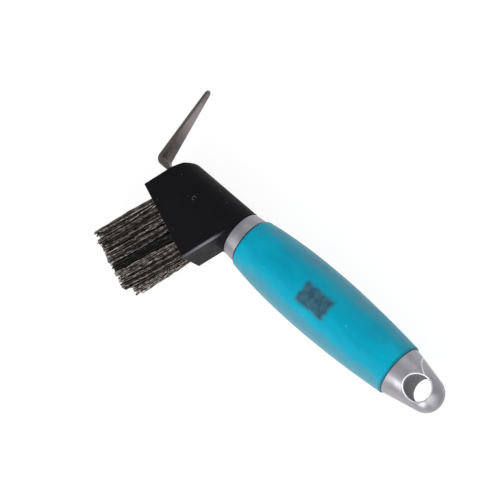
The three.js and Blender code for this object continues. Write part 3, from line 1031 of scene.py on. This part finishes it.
def store_painted_shine(mesh):
    """How much painted highlight each point gets: along the heel edges of both sides, and on the gate
    mark.

    It falls to 0 where the flats begin, and starts 6 mm below the axis, clear of the neck.
    """
    x, y, z = ((points_of(mesh) - handle_start) / MM).T
    from_corner = np.stack([x, y], -1) - HEAD["corner"]
    short = HEAD["face"] - from_corner @ ALONG
    apart = np.hypot(short, np.maximum(HEAD["radius"] - np.abs(z), 0))
    edge = np.clip((HEAD["heel_round"] - apart) / (0.55 * HEAD["heel_round"]), 0, 1)
    up_heel = np.clip((from_corner @ -OUT) / HEAD["radius"], 0, 1)  # the painted highlight is strongest near the neck
    below_neck = np.clip((-6 - y) / 4, 0, 1)
    mark = z > HEAD["radius"] + 0.02
    # The heel edges get a painted line of light; the gate mark gets a weaker painted highlight.
    store(mesh, "painted_shine", np.where(mark, 0.4, edge * below_neck * (0.35 + 0.65 * up_heel)))


print("gate mark, mm across:", 2 * (GATE["ring"] + GATE["bar"]))

# %% Piece: head, joined and cut
def make_head():
    block = loose_object("block", *head_block())
    lip_shape = soft_box((*MOUTH, 0), LIP["half"], LIP["round"], -HEAD["tilt"])
    lip = loose_object("lip", lip_shape, box_faces(lip_shape))
    mesh = cut_mesh(block, (lip, "UNION"), (gate_mark(), "UNION"), (hole_cutter(), "DIFFERENCE"))
    weld(mesh)
    soften(mesh, 32)
    store_painted_shine(mesh)
    finish_piece("moulded_head", mesh, BLACK, "black_plastic", "brush_head")


make_head()

# %% [markdown]
# ## Steel
# The pick is bent from flat steel strip and tumbled smooth, not polished. Fine scratches
# run along the strip, and the broad faces are a dark brown, lightened by a painted reflection
# in a band along the middle of the blade; the cut edges are coloured lighter. The scratches
# are a noise squeezed across the blade and stretched along it.

# %% Finish: steel
def pick_steel():
    material, tree, shader = new_finish("pick_steel", Metallic=0.92)
    along_blade = object_place(tree, turn=(0, 0, -PICK["lean"]), scale=(6, 0.35, 6))
    scratches = noise(tree, along_blade, 0.0025, 4, 0.7)
    stains = noise(tree, object_place(tree), 0.006, 4, 0.6)
    height = maths(tree, "ADD", handle_axes(tree)["Y"], maths(tree, "MULTIPLY", stains, 0.006))
    # Painted reflection: a lighter band along the middle of the blade, weaker towards the tip.
    painted_shine = span(tree, height, 0.014, 0.032)
    painted_shine = maths(tree, "MULTIPLY", painted_shine, span(tree, height, 0.034, 0.046, 1.0, 0.45))
    colour = blend(tree, stains, paint(28, 19, 16), paint(46, 34, 30))
    colour = blend(tree, painted_shine, colour, paint(132, 122, 124))
    colour = blend(tree, span(tree, scratches, 0.45, 0.7, 0, 0.3), colour, paint(150, 142, 142))
    # The cut edges, whose faces point along Z, are coloured lighter.
    normal = add_node(tree, "TexCoord").outputs["Normal"]
    sideways = maths(tree, "ABSOLUTE", add_node(tree, "SeparateXYZ", {0: normal}).outputs["Z"])
    colour = blend(tree, span(tree, sideways, 0.45, 0.85, 0, 0.85), colour, paint(118, 112, 107))
    gloss = span(tree, stains, 0.3, 0.7, 0.3, 0.46)
    join(shader, Base_Color=colour, Roughness=gloss, Normal=bump(tree, scratches, 0.00002))
    return material


STEEL = pick_steel()
print("made", STEEL.name)

# %% [markdown]
# ## The pick
# One strip makes the whole pick: a tang inside the head, a tight bend, and a blade that leans
# forward and tapers to a round tip. So it is one section carried along one path. The path is
# straight, then an arc, then straight. The section is a rectangle with rounded corners, whose
# width and thickness change on the way.

# %% Piece: steel pick, its path
BEND_TURN = np.pi / 2 - PICK["lean"]
BEND_CENTRE = np.array([
    PICK["corner_x"] + PICK["bend"] * math.tan(BEND_TURN / 2), PICK["tang_y"] + PICK["bend"],
])
TIP = PICK["tip_width"] / 2


def pick_path():
    """The strip's middle line, the direction square to it, inwards, and the distance to the tip."""
    tang_x = np.linspace(PICK["tang_end"], BEND_CENTRE[0], 40)[:-1]
    tang_x = np.concatenate([[PICK["tang_end"]], tang_x])
    tang = np.stack([tang_x, np.full_like(tang_x, PICK["tang_y"])], -1)
    sweep = -np.pi / 2 - np.linspace(0, BEND_TURN, 18)
    arc = BEND_CENTRE + PICK["bend"] * np.stack([np.cos(sweep), np.sin(sweep)], -1)
    along = np.array([-math.sin(PICK["lean"]), math.cos(PICK["lean"])])
    length = (PICK["tip_y"] - BEND_CENTRE[1]) / math.cos(PICK["lean"])
    far = np.concatenate([
        np.linspace(0, length - TIP, 60)[1:], length - TIP + TIP * np.sin(quarter(16))[1:],
    ])
    blade = arc[-1] + far[:, None] * along
    inward = np.concatenate([
        np.broadcast_to(UPWARD, tang.shape), -np.stack([np.cos(sweep), np.sin(sweep)], -1),
        np.broadcast_to([math.cos(PICK["lean"]), math.sin(PICK["lean"])], blade.shape),
    ])
    to_tip = np.concatenate([np.full(len(tang) + len(arc), length), length - far])
    return np.concatenate([tang, arc, blade]), inward, to_tip


print("bend centre, mm:", BEND_CENTRE.round(2))

# %% Piece: steel pick, its section
def pick_half_sizes(path, to_tip):
    """Half width and half thickness: tang, widening, blade taper, round tip."""
    x, y = path.T
    narrow_x = MOUTH[0] - PICK["widens"]
    wide = np.clip((x - narrow_x) / (BEND_CENTRE[0] - narrow_x), 0, 1)
    half = PICK["tang_width"] / 2 + wide * (PICK["width"] - PICK["tang_width"]) / 2
    up = np.clip((y - BEND_CENTRE[1]) / (PICK["tip_y"] - TIP - BEND_CENTRE[1]), 0, 1)
    half = np.where(up > 0, PICK["width"] / 2 + up * (TIP - PICK["width"] / 2), half)
    last = np.clip(1 - to_tip / TIP, 0, 1)
    thick = PICK["thick"] / 2 + up * (PICK["tip_thick"] - PICK["thick"]) / 2
    return half * np.sqrt(np.clip(1 - last ** 2, 0, 1)), thick * np.sqrt(1 - 0.7 * last ** 2)


def round_rectangle(half_wide, half_thick, radius, steps=6):
    """Four quarter arcs about the inset corners, for each section along a path."""
    turn = np.arange(4).repeat(steps) * np.pi / 2 + np.tile(quarter(steps), 4)
    corner = np.arange(4).repeat(steps) * np.pi / 2 + np.pi / 4
    radius = np.minimum(radius, np.minimum(half_wide, half_thick))[:, None]
    side = (half_wide[:, None] - radius) * np.sign(np.cos(corner)) + radius * np.cos(turn)
    deep = (half_thick[:, None] - radius) * np.sign(np.sin(corner)) + radius * np.sin(turn)
    return side, deep


def make_pick():
    path, inward, to_tip = pick_path()
    half_wide, half_thick = pick_half_sizes(path, to_tip)
    half_wide[0], half_thick[0] = 0, 0  # closes the tang's end
    side, deep = round_rectangle(half_wide, half_thick, PICK["edge"])
    flat = path[:, None] + deep[..., None] * inward[:, None]
    points = np.concatenate([flat, side[..., None]], -1)
    mesh = make_mesh("steel_pick", points, grid_faces(*points.shape[:2]))
    finish_piece("steel_pick", mesh, STEEL, "pick_steel", "hook_blade")


make_pick()

# %% [markdown]
# ## Bristle
# The brush is crimped plastic filament in a mix of pale grey and near black. Crimp makes
# each filament wave, so a tuft stays open and springy. A filament's own shade is one number
# stored on its points, so one material can dress them all, and a slower noise along them adds
# dust and dirt. Filament is smooth, so it glints a little.

# %% Finish: bristle
BRISTLE_SHADES = {
    0.0: paint(8, 6, 9), 0.35: paint(30, 26, 26), 0.55: paint(124, 116, 109),
    0.75: paint(176, 167, 159), 1.0: paint(206, 198, 190),
}


def bristle():
    material, tree, shader = new_finish("bristle", Specular_IOR_Level=0.35)
    place = object_place(tree)
    dust = noise(tree, place, 0.0017, 3, 0.65)
    ramp = add_node(tree, "ValToRGB", {"Fac": attribute(tree, "shade")})
    first, last = ramp.color_ramp.elements
    first.color, last.color = BRISTLE_SHADES[0.0], BRISTLE_SHADES[1.0]
    for share in (0.35, 0.55, 0.75):
        ramp.color_ramp.elements.new(share).color = BRISTLE_SHADES[share]
    dirty = blend(tree, 1.0, ramp.outputs["Color"], paint(118, 108, 102), "MULTIPLY")
    colour = blend(tree, span(tree, dust, 0.42, 0.6), ramp.outputs["Color"], dirty)
    gloss = span(tree, dust, 0.3, 0.7, 0.28, 0.45)
    relief = bump(tree, noise(tree, place, 0.0006, 2), 0.00002)
    join(shader, Base_Color=colour, Roughness=gloss, Normal=relief)
    return material


BRISTLE = bristle()
print("made", BRISTLE.name)

# %% [markdown]
# ## The tufts
# Each tuft is a bundle of filaments folded over a staple at the bottom of its hole. A
# particle system could grow them, but it would not follow the tuft's measures or export as
# plain faces. Here all filaments of a tuft are one array: roots on a sunflower spiral, tips
# spread a little wider, a wave of random phase across each, and uneven lengths. In use they
# stick together in a few locks, so a lock's tips are drawn together and share a shade. Each
# filament is a three-sided tube, because there are hundreds of them.

# %% Piece: tufts, their measures
FILAMENT = {
    "count": 54, "steps": 18, "sides": 3, "radius": 0.26, "root": 1.5, "crimp_length": 7.2,
    "crimp_size": 0.34, "widening": 0.5, "wander": 0.6, "uneven": 3.6,
}
LOCKS = {"count": 5, "uneven": 1.3, "drawn": 0.55, "from_middle": 0.62}
SHADE = {"mean": 0.66, "lock": 0.1, "own": 0.15, "black_share": 0.38, "black": 0.2}
DARK_TUFT, DARKER = 18, 0.7  # one tuft near the heel is nearly black
SEED = 7
TURNS = np.arange(FILAMENT["count"]) * math.pi * (3 - math.sqrt(5))  # the golden angle, again and again
IN_LOCK = (TURNS % (2 * np.pi) / (2 * np.pi) * LOCKS["count"]).astype(int)

print("filaments in each lock:", np.bincount(IN_LOCK))

# %% Piece: tufts, their filaments' paths
def at_angle(angle):
    """Unit vectors at these angles, as a last axis of two."""
    return np.stack([np.cos(angle), np.sin(angle)], -1)


def across_tuft(rise, lock_turn, wander):
    """Place across the tuft: on the spiral at the root, drawn to the lock's middle further out."""
    number = np.arange(FILAMENT["count"]) + 0.5
    spiral = np.sqrt(number / FILAMENT["count"])[:, None] * at_angle(TURNS)
    lock_angle = (IN_LOCK + 0.5) / LOCKS["count"] * 2 * np.pi + lock_turn
    lock_middle = LOCKS["from_middle"] * at_angle(lock_angle)
    widening = 1 + FILAMENT["widening"] * np.minimum(rise * 2.5, 1)
    spread = (TUFT["radius"] - FILAMENT["radius"]) * widening
    drawn = (LOCKS["drawn"] * rise ** 2)[..., None]
    across = (spiral[:, None] * (1 - drawn) + lock_middle[:, None] * drawn) * spread[..., None]
    return across + wander[:, None] * rise[..., None]


def filament_paths(u, z, side, share, chance):
    """Each filament leans out of its root, is drawn into its lock, and has a sine wave across it."""
    count = FILAMENT["count"]
    lock_turn = chance.random()
    length = TUFT["front_length"] + (TUFT["heel_length"] - TUFT["front_length"]) * share
    length = length - LOCKS["uneven"] * chance.random(LOCKS["count"])[IN_LOCK]
    length = length - FILAMENT["uneven"] * chance.random(count) ** 2.5
    outside = np.linspace(0, 1, FILAMENT["steps"])[None, :] * length[:, None]
    root = np.full((count, 1), FILAMENT["root"] - TUFT["depth"])
    out = np.concatenate([root, outside], 1)
    rise = np.clip(out / length.max(), 0, 1)
    across = across_tuft(rise, lock_turn, chance.normal(0, FILAMENT["wander"], (count, 2)))
    phase, heading = chance.random((2, count, 1)) * 2 * np.pi
    pitch = FILAMENT["crimp_length"] * chance.uniform(0.85, 1.5, (count, 1))
    size = FILAMENT["crimp_size"] * chance.uniform(0.3, 1.2, (count, 1))
    wave = size * np.sin(out / pitch * 2 * np.pi + phase) * np.clip(rise * 8, 0, 1)
    across = across + wave[..., None] * at_angle(heading)
    lean = math.radians(TUFT["front_lean"] + (TUFT["heel_lean"] - TUFT["front_lean"]) * share)
    flat = on_face(u + across[..., 0] + out * rise * math.tan(lean), out)
    splay = side * length.max() * math.tan(math.radians(TUFT["side_lean"]))
    height = z + across[..., 1] + splay * rise ** 2
    return np.concatenate([flat, height[..., None]], -1)


print("filaments:", FILAMENT["count"] * len(tuft_places()))

# %% Piece: tufts, made
def filament_faces(count, rings, sides):
    """Sides of every tube, and a small face at each of its two ends."""
    one = grid_faces(rings, sides)
    start = np.arange(count) * rings * sides
    tubes = (one[None] + start[:, None, None]).reshape(-1, 4)
    near = start[:, None] + np.arange(sides)[::-1]
    far = start[:, None] + np.arange(sides) + (rings - 1) * sides
    return [*tubes, *near, *far]


def make_tuft(number, u, z, side, share, chance):
    paths = filament_paths(u, z, side, share, chance)
    rings = tube(paths, np.full(paths.shape[:2], FILAMENT["radius"]), FILAMENT["sides"])
    name = f"bristles_{number:02d}"
    mesh = raw_mesh(name, rings, filament_faces(*rings.shape[:3]))
    mesh.shade_smooth()
    shade = chance.normal(SHADE["mean"], SHADE["lock"], LOCKS["count"])[IN_LOCK]
    shade = shade + chance.normal(0, SHADE["own"], FILAMENT["count"])
    shade = np.clip(shade - DARKER * (number == DARK_TUFT), 0, 1)
    shade[chance.random(FILAMENT["count"]) < SHADE["black_share"]] *= SHADE["black"]
    store(mesh, "shade", shade.repeat(rings.shape[1] * rings.shape[2]))
    finish_piece(name, mesh, BRISTLE, "bristle", f"tuft_{number:02d}")


def make_tufts():
    chance = np.random.default_rng(SEED)
    for number, (u, z, side, share) in enumerate(tuft_places(), 1):
        make_tuft(number, u, z, side, share, chance)


make_tufts()

# %% [markdown]
# ## What is hidden
# Inside are the moulded core that carries the grip, the patch that lies on it, and a
# staple in every tuft hole. They keep their plain solids, whose shapes are right, and get a
# finish each, so that the pick also looks right when it is taken apart.

# %% Finishes of the hidden pieces
def core_plastic():
    material, tree, shader = new_finish("core_plastic", Roughness=0.5, Specular_IOR_Level=0.4)
    flow = noise(tree, object_place(tree, scale=(0.3, 1, 1)), 0.01, 3)
    colour = blend(tree, flow, paint(176, 182, 186), paint(196, 200, 204))
    grain = noise(tree, object_place(tree), 0.0005)
    join(shader, Base_Color=colour, Normal=bump(tree, grain, 0.00001))
    return material


def label_film():
    material, tree, shader = new_finish("label_film", Specular_IOR_Level=0.3)
    ink = noise(tree, object_place(tree), 0.0015, 3)
    colour = blend(tree, ink, paint(46, 60, 70), paint(60, 74, 84))
    join(shader, Base_Color=colour, Roughness=span(tree, ink, 0.3, 0.7, 0.5, 0.65))
    return material


def staple_wire():
    material, tree, shader = new_finish("staple_wire", Metallic=1.0)
    drawn = noise(tree, object_place(tree, scale=(0.3, 1, 3)), 0.0006, 3)
    colour = blend(tree, drawn, paint(150, 140, 118), paint(196, 186, 160))
    join(shader, Base_Color=colour, Roughness=span(tree, drawn, 0.3, 0.7, 0.25, 0.4))
    return material


def dress(node, material):
    """Puts the finish in the first material slot of a plain solid's object."""
    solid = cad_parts[node]
    if not solid.material_slots:
        solid.data.materials.append(material)
    solid.material_slots[0].material = material


dress("handle_core", core_plastic())
dress("label_patch", label_film())
STAPLE = staple_wire()
anchors = [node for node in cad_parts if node.startswith("tuft_anchor")]
for anchor in anchors:
    dress(anchor, STAPLE)
print("dressed core, label patch and", len(anchors), "staples")
